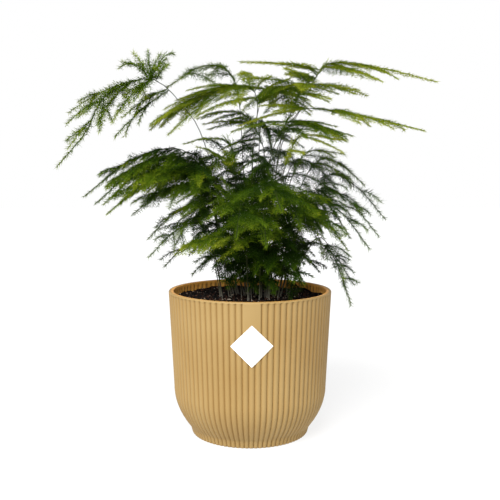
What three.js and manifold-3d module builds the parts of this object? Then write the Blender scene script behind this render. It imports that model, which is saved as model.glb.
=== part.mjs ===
// Potted asparagus fern: a ribbed plastic pot with a blank label, its soil, and leafy stems that stand in
// holes in the soil. Millimetres, +Z up, origin at the middle of the pot's base, label towards -Y.
import * as THREE from 'three';
import Module from 'manifold-3d';

const wasm = await Module();
wasm.setup();

// Pot: outer radii and heights from the foot up to the rim
const potHeight = 124;
const rimRadius = 70.2;
const rimBand = 2;
const beltRadius = 66;
const beltHeight = 40.5;
const neckRadius = 52.8;
const neckHeight = 7.2;
const footRadius = 50.6;
const bellyRoundness = 1.97;
const bellyAngles = [60, 30];

// Pot: inside
const mouthRadius = 66;
const innerBeltRadius = 61.5;
const innerFloorRadius = 48;
const floorHeight = 9;
const innerSides = 56;

// Ribs: rounded reeds all round, with a smooth band as wide as three of them above the label. Band and
// label are turned a little from -Y, by facing in degrees.
const ribCount = 84;
const ribDepth = 1.2;
const bandRibs = 3;
const bandFoot = 86;
const bandProud = 0.1;
const bandDepth = 1.9;
const facing = 1.2;

// Label: a square stood on its corner
const labelSide = 24;
const labelHeight = 89;
const labelThickness = 0.6;
const labelCorner = 0.3;
const labelColumns = 10;

// Soil
const soilTop = 117.5;
const soilSides = 24;
const soilRelief = 0.9;
const soilRings = [0.7, 0.35];
const gap = 0.3;
const holeDepth = 12;
const holeHalfWidth = 1.35;

// Stems: rings of feet in the soil, the taller stems inside, with radii across and along the view
const clumpMiddle = 4;
const feetAcross = [9, 16, 23, 30];
const feetAlong = [7, 12, 17, 22];
const ringHeights = [268, 232, 200];
const feetApart = 4.6;
const stemRadius = 1;
const tipRadius = 0.55;
const bareSteps = 4;
const shoulderReach = 0.5;
const shoulderRise = 0.7;

// Sprays: a slim core with slanting branchlets on both sides
const sprayRadius = 0.8;
const branchletSpacing = 12;
const fewestBranchlets = 3;
const mostBranchlets = 6;
const branchletSlant = 38;
const branchletSag = 0.12;
const sprayDrop = 0.32;
const sprayArch = 0.09;
const crownShare = 0.36;
const crownWidth = 12;

// Room kept between the leafy stems, and the bends tried to find it
const clearance = 3;
const sampleStep = 2;
const liftStep = 2;
const turnStep = 5;
const mostTurns = 7;
const bendStep = 4;
const mostBends = 11;
const shortenings = [1, 0.85, 0.7, 0.55];
const smallestEdge = 0.02;

// Tall stems: the route above the foot, and the sprays as
// [place along the stem, tip x, tip y, tip z, arch, width]
const tallStems = [
  {
    name: 'left_tall', young: 0.3, crown: 10,
    route: [[-37, 2, 244], [-57, 0, 281], [-84, -4, 303], [-121, -8, 288], [-138, -9, 258], [-162, -10, 230]],
    sprays: [
      [0.645, -65, 12, 326, 7, 11], [0.65, -113, 18, 315, 8, 12], [0.63, -66, -26, 312, 2, 9],
      [0.68, -158, 20, 277, 4, 14], [0.79, -149, -28, 264, 2, 9], [0.595, -106, -14, 270, 3, 15],
      [0.645, -111, -34, 265, 5, 14], [0.7, -138, 46, 270, 4, 12], [0.78, -122, -30, 258, 2, 11],
      [0.59, -112, -18, 254, 3, 7], [0.64, -93, -38, 282, 3, 11], [0.87, -160, 16, 252, 2, 8],
    ],
  },
  {
    name: 'left_arch', young: 0.4, crown: 7,
    route: [[-6, 7, 232], [-13, 6, 302], [-38, 4, 315], [-70, 2, 297]],
    sprays: [[0.92, -29, -10, 298, 3, 8], [0.78, -34, 34, 310, 6, 9]],
  },
  {
    name: 'left_broad', young: 0.35, crown: 14,
    route: [[2, -6, 222], [6, -10, 278], [-8, -12, 290], [-46, -8, 280], [-84, -2, 258]],
    sprays: [
      [0.6, 34, 10, 305, 3, 12], [0.7, -66, -32, 255, 4, 14], [0.66, -22, 52, 292, 5, 14],
      [0.62, -42, -52, 268, 4, 13], [0.8, -62, 40, 272, 4, 13],
    ],
  },
  {
    name: 'centre_tall', young: 0.1, crown: 14,
    route: [[2, 6, 240], [6, 8, 273], [14, 18, 296], [30, 54, 299], [42, 96, 284]],
    sprays: [[0.68, -34, 58, 300, 4, 14], [0.72, 80, 48, 296, 4, 14], [0.8, -8, 98, 284, 4, 13]],
  },
  {
    name: 'centre_left', young: 0.1, crown: 12,
    route: [[13, 16, 228], [8, 19, 256], [-3, 22, 274], [-20, 27, 279], [-42, 32, 273]],
    sprays: [[0.74, -38, 0, 266, 3, 12], [0.74, -18, 66, 274, 4, 13]],
  },
  {
    name: 'right_tall', young: 0.3, crown: 13,
    route: [[21, 4, 235], [42, 2, 276], [57, -2, 307], [70, -4, 316], [110, -8, 311], [155, -10, 300]],
    sprays: [
      [0.67, -8, 10, 319, 2, 13], [0.68, 103, -46, 296, 3, 14], [0.68, 114, 44, 308, 3, 14],
      [0.63, 34, 56, 314, 4, 13], [0.62, 28, -44, 306, 3, 12],
    ],
  },
  {
    name: 'right_second', young: 0.55, crown: 13,
    route: [[24, -9, 240], [36, -13, 278], [48, -17, 296], [86, -38, 290]],
    sprays: [[0.79, -5, -18, 301, 3, 13], [0.82, 100, 8, 290, 3, 12], [0.8, 40, -56, 288, 3, 12]],
  },
  {
    name: 'right_third', young: 0.25, crown: 14,
    route: [[23, -15, 232], [34, -20, 264], [46, -20, 277], [94, -18, 271], [144, -18, 259]],
    sprays: [[0.6, -17, -26, 283, 3, 13], [0.7, 84, -60, 262, 3, 14], [0.72, 106, 30, 266, 4, 14]],
  },
  {
    name: 'right_fourth', young: 0.3, crown: 13,
    route: [[15, -22, 224], [25, -29, 256], [37, -32, 266], [82, -38, 254]],
    sprays: [[0.74, -15, -42, 260, 3, 13], [0.8, 62, -72, 248, 3, 13], [0.82, 78, 12, 252, 3, 11]],
  },
  {
    name: 'right_young', young: 1, crown: 8,
    route: [[24, -33, 208], [32, -40, 240], [42, -43, 254], [75, -47, 250]],
    sprays: [[0.8, 70, -70, 240, 2, 8]],
  },
  {
    name: 'right_thin', young: 0.4, crown: 8,
    route: [[32, 6, 205], [44, 10, 236], [54, 12, 244], [82, 14, 241]],
    sprays: [[0.84, 76, 38, 238, 2, 8]],
  },
];

// Arching stems: name, crest, tip, number of sprays, spray length, share of young green
const archingStems = [
  ['left_mid_upper', [-58, 10, 244], [-145, 12, 204], 4, 30, 0.2],
  ['left_mid_middle', [-56, -10, 237], [-129, -17, 199], 4, 50, 0.25],
  ['left_mid_front', [-44, -28, 228], [-114, -46, 192], 3, 48, 0.3],
  ['left_mid_lower', [-40, -12, 214], [-98, -20, 190], 3, 42, 0.1],
  ['left_mid_back', [-50, 32, 234], [-118, 56, 200], 4, 52, 0.1],
  ['left_small', [-16, -20, 247], [-53, -30, 248], 1, 20, 0.8],
  ['low_left_upper', [-44, 0, 196], [-88, 2, 168], 3, 34, 0.2],
  ['low_left_middle', [-40, -18, 184], [-85, -18, 154], 2, 32, 0.3],
  ['low_left_lower', [-36, 10, 168], [-76, 18, 142], 2, 28, 0.1],
  ['low_left_thin', [-28, 2, 152], [-50, 0, 137], 1, 16, 0.2],
  ['low_left_bright', [-4, -40, 170], [-58, -52, 160], 3, 32, 1],
  ['right_mid_upper', [60, 12, 236], [100, 14, 214], 3, 34, 0.15],
  ['right_mid_middle', [68, 0, 223], [116, 0, 185], 3, 33, 0.15],
  ['right_mid_lower', [60, -14, 212], [109, -10, 171], 3, 33, 0.1],
  ['right_mid_front', [54, -30, 204], [97, -36, 163], 3, 32, 0.15],
  ['right_mid_near', [42, -44, 198], [78, -50, 163], 2, 34, 0.3],
  ['right_mid_back', [54, 36, 206], [94, 60, 164], 4, 40, 0.1],
  ['low_right_outer', [60, -10, 170], [85, -20, 114], 3, 26, 0.1],
  ['low_right_middle', [58, 6, 164], [90, 2, 128], 2, 26, 0.1],
  ['low_right_inner', [36, 12, 156], [62, 20, 137], 2, 20, 0.1],
  ['front_upper', [12, -44, 214], [23, -100, 196], 4, 44, 0.7],
  ['front_left', [-6, -46, 202], [-10, -92, 177], 3, 36, 0.6],
  ['front_right', [28, -44, 204], [38, -84, 184], 3, 36, 0.5],
  ['front_middle', [10, -48, 192], [12, -88, 170], 2, 32, 0.7],
  ['front_low', [18, -32, 164], [44, -54, 136], 3, 28, 0.05],
  ['back_upper', [10, 56, 270], [24, 124, 238], 4, 42, 0.1],
  ['back_right', [42, 50, 236], [92, 90, 198], 4, 46, 0.1],
  ['back_left', [-26, 54, 234], [-52, 118, 196], 4, 48, 0.1],
  ['back_far_left', [-54, 44, 226], [-102, 84, 192], 3, 44, 0.1],
  ['back_mid', [2, 52, 218], [4, 112, 178], 4, 42, 0.1],
  ['back_mid_right', [36, 46, 208], [72, 96, 166], 3, 40, 0.1],
  ['back_mid_left', [-34, 42, 200], [-72, 84, 156], 3, 38, 0.1],
  ['back_low_right', [24, 36, 168], [48, 74, 138], 2, 26, 0.1],
  ['back_low_left', [-20, 36, 168], [-44, 72, 138], 2, 26, 0.1],
];

const degrees = Math.PI / 180;
const up = new THREE.Vector3(0, 0, 1);

// Seeded draws between 0 and 1
function seededDraws(seed) {
  let state = seed;
  return () => {
    state = (state + 0x6d2b79f5) | 0;
    let mixed = Math.imul(state ^ (state >>> 15), 1 | state);
    mixed = (mixed + Math.imul(mixed ^ (mixed >>> 7), 61 | mixed)) ^ mixed;
    return ((mixed ^ (mixed >>> 14)) >>> 0) / 4294967296;
  };
}

function solid(positions, triangles) {
  return new wasm.Manifold(new wasm.Mesh({
    numProp: 3,
    vertProperties: new Float32Array(positions),
    triVerts: new Uint32Array(triangles),
  }));
}

function geometryOf(body) {
  const mesh = body.getMesh();
  const geometry = new THREE.BufferGeometry();
  geometry.setAttribute('position', new THREE.BufferAttribute(mesh.vertProperties, 3));
  geometry.setIndex(new THREE.BufferAttribute(mesh.triVerts, 1));
  geometry.computeVertexNormals();
  return geometry;
}

function piece(name, body, material) {
  const mesh = new THREE.Mesh(geometryOf(body), material);
  mesh.name = name;
  return mesh;
}

// Closed body through rings of equal count, lowest first, shut by a fan at either end
function ringedBody(rings) {
  const count = rings[0].length;
  const positions = rings.flat(2);
  const triangles = [];
  for (let row = 0; row + 1 < rings.length; row += 1) {
    for (let i = 0; i < count; i += 1) {
      const a = row * count + i;
      const b = row * count + (i + 1) % count;
      triangles.push(a, b, b + count, a, b + count, a + count);
    }
  }
  const bottomMiddle = positions.length / 3;
  positions.push(0, 0, rings[0][0][2]);
  positions.push(0, 0, rings.at(-1)[0][2]);
  const topStart = (rings.length - 1) * count;
  for (let i = 0; i < count; i += 1) {
    const next = (i + 1) % count;
    triangles.push(next, i, bottomMiddle);
    triangles.push(topStart + i, topStart + next, bottomMiddle + 1);
  }
  return solid(positions, triangles);
}

function ring(count, height, radiusAt) {
  return Array.from({ length: count }, (_, i) => {
    const angle = 2 * Math.PI * i / count - Math.PI / 2;
    const radius = radiusAt(i);
    return [radius * Math.cos(angle), radius * Math.sin(angle), height];
  });
}

// Outer radius on the straight wall above the belt
function wallRadius(height) {
  return beltRadius + (rimRadius - beltRadius) * (height - beltHeight) / (potHeight - beltHeight);
}

// Plate bent round the front of the pot, between two edges and two distances from the wall
function bentPlate(columns, halfAngle, edgesAt, offsets) {
  const positions = [];
  for (let i = 0; i <= columns; i += 1) {
    const across = 2 * i / columns - 1;
    const angle = across * halfAngle - Math.PI / 2;
    for (const height of edgesAt(across)) {
      for (const offset of offsets) {
        const radius = wallRadius(height) + offset;
        positions.push(radius * Math.cos(angle), radius * Math.sin(angle), height);
      }
    }
  }
  const triangles = [];
  const sides = [[0, 1], [1, 3], [3, 2], [2, 0]];
  for (let i = 0; i < columns; i += 1) {
    for (const [from, to] of sides) {
      const a = 4 * i + from;
      const b = 4 * i + to;
      triangles.push(a, a + 4, b + 4, a, b + 4, b);
    }
  }
  const end = 4 * columns;
  triangles.push(0, 1, 3, 0, 3, 2, end, end + 3, end + 1, end, end + 2, end + 3);
  return solid(positions, triangles);
}

// Smooth band in front, which fills the grooves between its ribs
function smoothBand() {
  const halfAngle = bandRibs * Math.PI / ribCount;
  const edges = [bandFoot, potHeight - rimBand];
  return bentPlate(2 * bandRibs, halfAngle, () => edges, [-bandDepth, bandProud]);
}

function potBody() {
  const samples = 2 * ribCount;
  const ribbed = (radius) => (i) => radius - (i % 2) * ribDepth;
  const belly = bellyAngles.map((angle) => [
    neckRadius + (beltRadius - neckRadius) * Math.cos(angle * degrees) ** bellyRoundness,
    beltHeight - (beltHeight - neckHeight) * Math.sin(angle * degrees),
  ]);
  const profile = [[footRadius, 0], [neckRadius, neckHeight], ...belly, [beltRadius, beltHeight],
    [wallRadius(potHeight - rimBand), potHeight - rimBand]];
  const rings = profile.map(([radius, height]) => ring(samples, height, ribbed(radius)));
  rings.push(ring(samples, potHeight, () => rimRadius - ribDepth / 2));
  const hollow = ringedBody([
    ring(innerSides, floorHeight, () => innerFloorRadius),
    ring(innerSides, beltHeight, () => innerBeltRadius),
    ring(innerSides, potHeight, () => mouthRadius),
    ring(innerSides, potHeight + rimBand, () => mouthRadius),
  ]);
  return ringedBody(rings).add(smoothBand()).rotate([0, 0, facing]).subtract(hollow);
}

function labelBody() {
  const halfDiagonal = labelSide / Math.SQRT2;
  const edgesAt = (across) => {
    const reach = Math.max(halfDiagonal * (1 - Math.abs(across)), labelCorner);
    return [labelHeight - reach, labelHeight + reach];
  };
  const offsets = [bandProud + gap, bandProud + gap + labelThickness];
  const halfAngle = halfDiagonal / wallRadius(labelHeight);
  return bentPlate(labelColumns, halfAngle, edgesAt, offsets).rotate([0, 0, facing]);
}

function soilBody(feet) {
  const draw = seededDraws(3);
  const soilRadius = (height) => innerBeltRadius - gap
    + (mouthRadius - innerBeltRadius) * (height - beltHeight) / (potHeight - beltHeight);
  const rings = [
    ring(soilSides, floorHeight + gap, () => innerFloorRadius - gap),
    ring(soilSides, beltHeight, () => innerBeltRadius - gap),
    ring(soilSides, soilTop, () => soilRadius(soilTop)),
  ];
  for (const share of soilRings) {
    const level = ring(soilSides, soilTop, () => share * soilRadius(soilTop));
    rings.push(level.map(([x, y, z]) => [x, y, z + soilRelief * (2 * draw() - 1)]));
  }
  return ringedBody(rings).subtract(wasm.Manifold.union(feet.map(stemHole)));
}

// Square hole round the foot of a stem
function stemHole(foot) {
  const corners = [[-1, -1], [1, -1], [1, 1], [-1, 1]];
  const square = (height) => corners.flatMap(([i, j]) => [
    foot.x + i * holeHalfWidth, foot.y + j * holeHalfWidth, height]);
  const triangles = [0, 2, 1, 0, 3, 2, 4, 5, 6, 4, 6, 7];
  for (let i = 0; i < 4; i += 1) {
    const next = (i + 1) % 4;
    triangles.push(i, next, next + 4, i, next + 4, i + 4);
  }
  return solid([...square(soilTop - holeDepth - gap), ...square(soilTop + holeDepth)], triangles);
}

// Feet of one ring: each starts at its stem's heading and is pushed from its neighbours till they stand apart
function spreadFeet(stems, across, along) {
  const least = 2 * feetApart / (across + along);
  stems.sort((a, b) => a.leaning - b.leaning);
  const angles = stems.map((stem) => stem.leaning);
  for (let round = 0; round < 400; round += 1) {
    for (let i = 0; i < angles.length; i += 1) {
      const next = (i + 1) % angles.length;
      const turn = next === 0 ? 2 * Math.PI : 0;
      const lack = least - (angles[next] + turn - angles[i]);
      if (lack > 0) {
        angles[i] -= lack / 2;
        angles[next] += lack / 2;
      }
    }
  }
  stems.forEach((stem, i) => {
    const x = clumpMiddle + across * Math.cos(angles[i]);
    stem.foot = new THREE.Vector3(x, along * Math.sin(angles[i]), soilTop + 2);
  });
}

function placeFeet(stems) {
  const level = (stem) => ringHeights.filter((height) => stem.crestHeight < height).length;
  feetAcross.forEach((across, i) => {
    spreadFeet(stems.filter((stem) => level(stem) === i), across, feetAlong[i]);
  });
}

function vector(coordinates) {
  return new THREE.Vector3(...coordinates);
}

// Direction in which a stem leaves the clump
function leaningOf(place) {
  return Math.atan2(place.y, place.x - clumpMiddle);
}

function tallStem(row) {
  const route = row.route.map(vector);
  const tip = route.at(-1);
  const crestHeight = Math.max(...route.map((point) => point.z));
  return { ...row, route, crestHeight, heading: Math.atan2(tip.y, tip.x), leaning: leaningOf(route[0]) };
}

// Arching stem: the crest, a bowed fall and the tip
function archingStem([name, crestPlace, tipPlace, count, sprayLength, young]) {
  const crest = vector(crestPlace);
  const tip = vector(tipPlace);
  const fall = crest.clone().lerp(tip, 0.5);
  fall.z += 0.13 * crest.distanceTo(tip);
  const heading = Math.atan2(tip.y, tip.x);
  return { name, young, crown: crownWidth, route: [crest, fall, tip], crestHeight: crest.z, heading,
    leaning: leaningOf(crest), arching: true, count, sprayLength };
}

// Sprays by rule: on alternate sides, shorter towards the tip, with a little spread in angle and length
function ruledSprays(stem, number, draw) {
  const along = stem.route.at(-1).clone().sub(stem.route.at(-3));
  const heading = Math.atan2(along.y, along.x);
  const sprays = [];
  for (let i = 0; i < stem.count; i += 1) {
    const share = (i + 0.5) / stem.count;
    const place = 0.5 + 0.38 * share + 0.03 * (draw() - 0.5);
    const side = (i + number) % 2 ? -1 : 1;
    const angle = heading + side * (72 - 26 * share + 16 * (draw() - 0.5)) * degrees;
    const length = stem.sprayLength * (1.1 - 0.45 * share) * (0.9 + 0.2 * draw());
    const root = pointAlong(stem.stalk, place);
    const tip = root.clone();
    tip.x += length * Math.cos(angle);
    tip.y += length * Math.sin(angle);
    tip.z -= length * sprayDrop * (0.6 + 0.8 * draw());
    sprays.push({ place, tip, arch: sprayArch * length, width: Math.min(15, 7 + 0.13 * length) });
  }
  return sprays;
}

function listedSprays(stem) {
  return stem.sprays.map(([place, x, y, z, arch, width]) => (
    { place, tip: new THREE.Vector3(x, y, z), arch, width }));
}

// Point at a share of the length of a stem above the soil, on the straight stretches between its frames
function pointAlong(stalk, share) {
  const points = stalk.frames.slice(1).map((frame) => frame.point);
  const lengths = points.slice(1).map((point, i) => point.distanceTo(points[i]));
  let rest = share * lengths.reduce((sum, length) => sum + length, 0);
  let i = 0;
  while (rest > lengths[i]) {
    rest -= lengths[i];
    i += 1;
  }
  return points[i].clone().lerp(points[i + 1], rest / lengths[i]);
}

// Points of a spray: from its root in an arch to its tip
function sprayPoints(root, tip, arch) {
  const middle = root.clone().lerp(tip, 0.5);
  middle.z += 2 * arch;
  const curve = new THREE.QuadraticBezierCurve3(root, middle, tip);
  const steps = Math.round(curve.getLength() / branchletSpacing);
  return curve.getSpacedPoints(THREE.MathUtils.clamp(steps, fewestBranchlets, mostBranchlets) + 1);
}

// Sideways, upward and forward directions at a point of a stalk
function framesOf(points, across) {
  return points.map((point, i) => {
    const before = points[Math.max(i - 1, 0)];
    const after = points[Math.min(i + 1, points.length - 1)];
    const ahead = after.clone().sub(before).normalize();
    const side = across.clone().addScaledVector(ahead, -across.dot(ahead)).normalize();
    return { point, ahead, side, above: side.clone().cross(ahead) };
  });
}

// Tip of the branchlet that leaves the stretch after frame i on one side
function branchletTip(frames, i, side, length) {
  const frame = frames[i];
  const start = frame.point.clone().lerp(frames[i + 1].point, 0.5);
  return start
    .addScaledVector(frame.side, side * length * Math.cos(branchletSlant * degrees))
    .addScaledVector(frame.ahead, length * Math.sin(branchletSlant * degrees))
    .addScaledVector(frame.above, -branchletSag * length);
}

// Branchlets are longest near the root of their spray and shortest at its tip
function branchletLength(width, share) {
  return width * (0.62 + 0.38 * Math.min(1, 4 * share)) * (1 - 0.7 * share * share);
}

// Three-sided stalk that ends in a point, with a pair of branchlets on each stretch from leafyFrom on
function stalkBody(stalk) {
  const { frames, radii, leafyFrom, width } = stalk;
  const corners = [[0, 1], [-0.87, -0.5], [0.87, -0.5]];
  const positions = [];
  const triangles = [0, 1, 2];
  const last = frames.length - 1;
  for (let i = 0; i < last; i += 1) {
    for (const [sideways, upward] of corners) {
      const corner = frames[i].point.clone()
        .addScaledVector(frames[i].side, sideways * radii[i])
        .addScaledVector(frames[i].above, upward * radii[i]);
      positions.push(...corner.toArray());
    }
  }
  positions.push(...frames[last].point.toArray());
  for (let i = 0; i + 1 < last; i += 1) {
    for (let k = 0; k < 3; k += 1) {
      const a = 3 * i + k;
      const b = 3 * i + (k + 1) % 3;
      if (i >= leafyFrom && k !== 1) {
        const share = (i - leafyFrom) / (last - leafyFrom);
        const peak = positions.length / 3;
        const side = k === 0 ? -1 : 1;
        positions.push(...branchletTip(frames, i, side, branchletLength(width, share)).toArray());
        triangles.push(b, a, peak, b + 3, b, peak, a + 3, b + 3, peak, a, a + 3, peak);
      } else {
        triangles.push(b, a, a + 3, b, a + 3, b + 3);
      }
    }
  }
  const lastRing = 3 * (last - 1);
  for (let k = 0; k < 3; k += 1) {
    triangles.push(lastRing + (k + 1) % 3, lastRing + k, 3 * last);
  }
  return solid(positions, triangles);
}

// Sample points over a stalk and its branchlets
function samplesOf(stalk) {
  const { frames, leafyFrom, width } = stalk;
  const samples = [];
  const line = (from, to) => {
    const count = Math.ceil(from.distanceTo(to) / sampleStep);
    for (let i = 0; i <= count; i += 1) {
      samples.push(from.clone().lerp(to, i / count));
    }
  };
  const last = frames.length - 1;
  for (let i = stalk.bare ? 1 : 0; i < last; i += 1) {
    line(frames[i].point, frames[i + 1].point);
    if (i >= leafyFrom && i + 1 < last) {
      const share = (i - leafyFrom) / (last - leafyFrom);
      for (const side of [-1, 1]) {
        const tip = branchletTip(frames, i, side, branchletLength(width, share));
        for (const along of [0, 0.5, 1]) {
          line(frames[i].point.clone().lerp(frames[i + 1].point, along), tip);
        }
      }
    }
  }
  return samples;
}

function overPot(point) {
  return Math.hypot(point.x, point.y) < rimRadius + 2 && point.z < potHeight + 2;
}

function isClear(samples, placed) {
  const box = new THREE.Box3().setFromPoints(samples).expandByScalar(clearance);
  return placed.every((other) => !other.box.intersectsBox(box) || other.samples.every((theirs) => (
    !box.containsPoint(theirs) || samples.every((ours) => ours.distanceTo(theirs) >= clearance))));
}

function remember(samples, owner, placed) {
  placed.push({ owner, samples, box: new THREE.Box3().setFromPoints(samples) });
}

// 0, 1, -1, 2, -2 and so on
function alternating(count) {
  return Array.from({ length: count }, (_, i) => (i % 2 ? 1 : -1) * Math.ceil(i / 2));
}

// Shoulder of an arching stem, well up and half way out to the crest
function shoulderOf(stem) {
  const shoulder = stem.foot.clone().lerp(stem.route[0], shoulderReach);
  shoulder.z = stem.foot.z + shoulderRise * (stem.route[0].z - stem.foot.z);
  return shoulder;
}

// Stalk of a stem: upright in its hole, bare up to the crown, then with branchlets
function stemStalk(stem) {
  const lower = stem.arching ? [stem.foot, shoulderOf(stem)] : [stem.foot];
  const curve = new THREE.CatmullRomCurve3([...lower, ...stem.route], false, 'catmullrom', 0.5);
  const crownSteps = THREE.MathUtils.clamp(
    Math.round(curve.getLength() * crownShare / branchletSpacing), fewestBranchlets, mostBranchlets);
  const points = [stem.foot.clone().setZ(soilTop - holeDepth)];
  for (let i = 0; i < bareSteps; i += 1) {
    points.push(curve.getPointAt((1 - crownShare) * i / bareSteps));
  }
  for (let i = 0; i <= crownSteps; i += 1) {
    points.push(curve.getPointAt(1 - crownShare + crownShare * i / crownSteps));
  }
  const across = new THREE.Vector3(Math.sin(stem.heading), -Math.cos(stem.heading), 0);
  const last = points.length - 1;
  const radii = points.map((_, i) => stemRadius + (tipRadius - stemRadius) * i / last);
  return { frames: framesOf(points, across), radii, leafyFrom: bareSteps + 1, width: stem.crown, bare: true };
}

// Stems are turned and lifted until each one is clear of those before it
function placeStems(stems, placed) {
  const tries = alternating(mostTurns).flatMap((turn) => alternating(mostBends).map((lift) => [turn, lift]));
  for (const stem of stems) {
    const route = stem.route;
    let samples = [];
    tries.some(([turn, lift]) => {
      stem.route = route.map((point) => {
        const moved = point.clone().applyAxisAngle(up, turn * turnStep * degrees);
        moved.z += lift * liftStep;
        return moved;
      });
      stem.stalk = stemStalk(stem);
      samples = samplesOf(stem.stalk);
      return isClear(samples, placed);
    });
    remember(samples, stem, placed);
  }
}

function sprayStalk(root, tip, arch, width) {
  const points = sprayPoints(root, tip, arch);
  const heading = tip.clone().sub(root).setZ(0).normalize();
  const across = heading.clone().cross(up);
  const last = points.length - 1;
  const radii = points.map((_, i) => sprayRadius + (tipRadius - sprayRadius) * i / last);
  return { frames: framesOf(points, across), radii, leafyFrom: 0, width };
}

// A spray is bent up or down and turned about its root, then shortened, until it is clear of other stems.
// One that finds no room is left out.
function placeSpray(stem, spray, placed) {
  const root = pointAlong(stem.stalk, spray.place);
  const chord = spray.tip.clone().sub(root);
  const across = chord.clone().setZ(0).cross(up).normalize();
  const others = placed.filter((other) => other.owner !== stem);
  for (const share of shortenings) {
    for (const turn of alternating(mostTurns)) {
      for (const bend of alternating(mostBends)) {
        const reach = chord.clone()
          .applyAxisAngle(across, bend * bendStep * degrees)
          .applyAxisAngle(up, turn * turnStep * degrees)
          .multiplyScalar(share);
        const stalk = sprayStalk(root, root.clone().add(reach), spray.arch * share, spray.width * share);
        const samples = samplesOf(stalk);
        if (!samples.some(overPot) && isClear(samples, others)) {
          remember(samples, stem, placed);
          return stalk;
        }
      }
    }
  }
  return null;
}

function leafyStems() {
  const draw = seededDraws(11);
  const stems = [...tallStems.map(tallStem), ...archingStems.map(archingStem)];
  const placed = [];
  placeFeet(stems);
  placeStems(stems, placed);
  stems.forEach((stem, number) => {
    const sprays = stem.count ? ruledSprays(stem, number, draw) : listedSprays(stem);
    stem.stalks = sprays.map((spray) => placeSpray(stem, spray, placed)).filter((stalk) => stalk);
  });
  return stems;
}

function stemBody(stem) {
  const parts = [stem.stalk, ...stem.stalks].map(stalkBody);
  return wasm.Manifold.union(parts).simplify(smallestEdge);
}

const stems = leafyStems();
const potMaterial = new THREE.MeshStandardMaterial({ color: 0xcfab73, roughness: 0.6, metalness: 0 });
const soilMaterial = new THREE.MeshStandardMaterial({ color: 0x1d140c, roughness: 0.95, metalness: 0 });
const labelMaterial = new THREE.MeshStandardMaterial({ color: 0xf7f7f5, roughness: 0.5, metalness: 0 });

function foliageMaterial(young) {
  const color = new THREE.Color(0x2f5a12).lerp(new THREE.Color(0x86a836), young);
  return new THREE.MeshStandardMaterial({ color, roughness: 0.6, metalness: 0 });
}

const group = new THREE.Group();
group.add(piece('pot', potBody(), potMaterial));
group.add(piece('label', labelBody(), labelMaterial));
group.add(piece('soil', soilBody(stems.map((stem) => stem.foot)), soilMaterial));
for (const stem of stems) {
  group.add(piece(`stem_${stem.name}`, stemBody(stem), foliageMaterial(stem.young)));
}

export default group;
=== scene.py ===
import itertools
import math

import bpy
import numpy as np
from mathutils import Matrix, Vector


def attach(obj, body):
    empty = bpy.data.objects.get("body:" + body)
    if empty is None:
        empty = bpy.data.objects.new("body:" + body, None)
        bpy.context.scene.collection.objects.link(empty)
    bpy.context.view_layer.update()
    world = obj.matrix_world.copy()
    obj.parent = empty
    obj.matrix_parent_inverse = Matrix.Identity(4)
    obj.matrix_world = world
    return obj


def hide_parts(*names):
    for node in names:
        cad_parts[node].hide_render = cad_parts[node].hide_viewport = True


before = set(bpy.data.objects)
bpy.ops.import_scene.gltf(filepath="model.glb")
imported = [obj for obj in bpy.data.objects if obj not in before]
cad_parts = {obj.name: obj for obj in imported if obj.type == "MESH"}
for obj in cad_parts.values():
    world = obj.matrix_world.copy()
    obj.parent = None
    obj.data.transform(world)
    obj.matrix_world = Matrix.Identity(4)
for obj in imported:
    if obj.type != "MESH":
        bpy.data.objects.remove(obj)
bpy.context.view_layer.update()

# Lengths are in millimetres until a mesh is made, and +Z is up
millimetre = 0.001
up = np.array([0.0, 0.0, 1.0])


# Vectors over their lengths
def unit(vectors):
    return vectors / np.maximum(np.linalg.norm(vectors, axis=-1, keepdims=True), 1e-12)


def newObject(name, data):
    item = bpy.data.objects.new(name, data)
    bpy.context.scene.collection.objects.link(item)
    return item


# A mesh from arrays of points and of triangles or quads, with float attributes
def meshPiece(name, points, faces, material, flat=True, **attributes):
    mesh = bpy.data.meshes.new(name)
    mesh.from_pydata(points * millimetre, [], faces, shade_flat=flat)
    for key, values in attributes.items():
        mesh.attributes.new(key, "FLOAT", "POINT").data.foreach_set("value", values.astype(np.float32))
    mesh.materials.append(material)
    return newObject(name, mesh)


# Quads of a grid whose rows close on themselves
def wrappedGrid(rows, columns):
    i, j = np.meshgrid(np.arange(rows - 1), np.arange(columns), indexing="ij")
    a = i * columns + j
    b = i * columns + (j + 1) % columns
    return np.stack([a, b, b + columns, a + columns], -1).reshape(-1, 4)


# Points at a distance from the pot's axis, in a direction round it and at a height
def around(distance, turn, height):
    return np.stack([distance * np.cos(turn), distance * np.sin(turn), height], -1)


# Each quad as two triangles
def halved(quads):
    return np.concatenate([quads[:, [0, 1, 2]], quads[:, [0, 2, 3]]])


# Meshes in one: each one's faces are numbered on from the points before
def joined(meshes):
    starts = np.cumsum([0, *(len(points) for points, faces in meshes)])
    return (np.concatenate([points for points, faces in meshes]),
            np.concatenate([faces + start for (points, faces), start in zip(meshes, starts)]))


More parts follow.
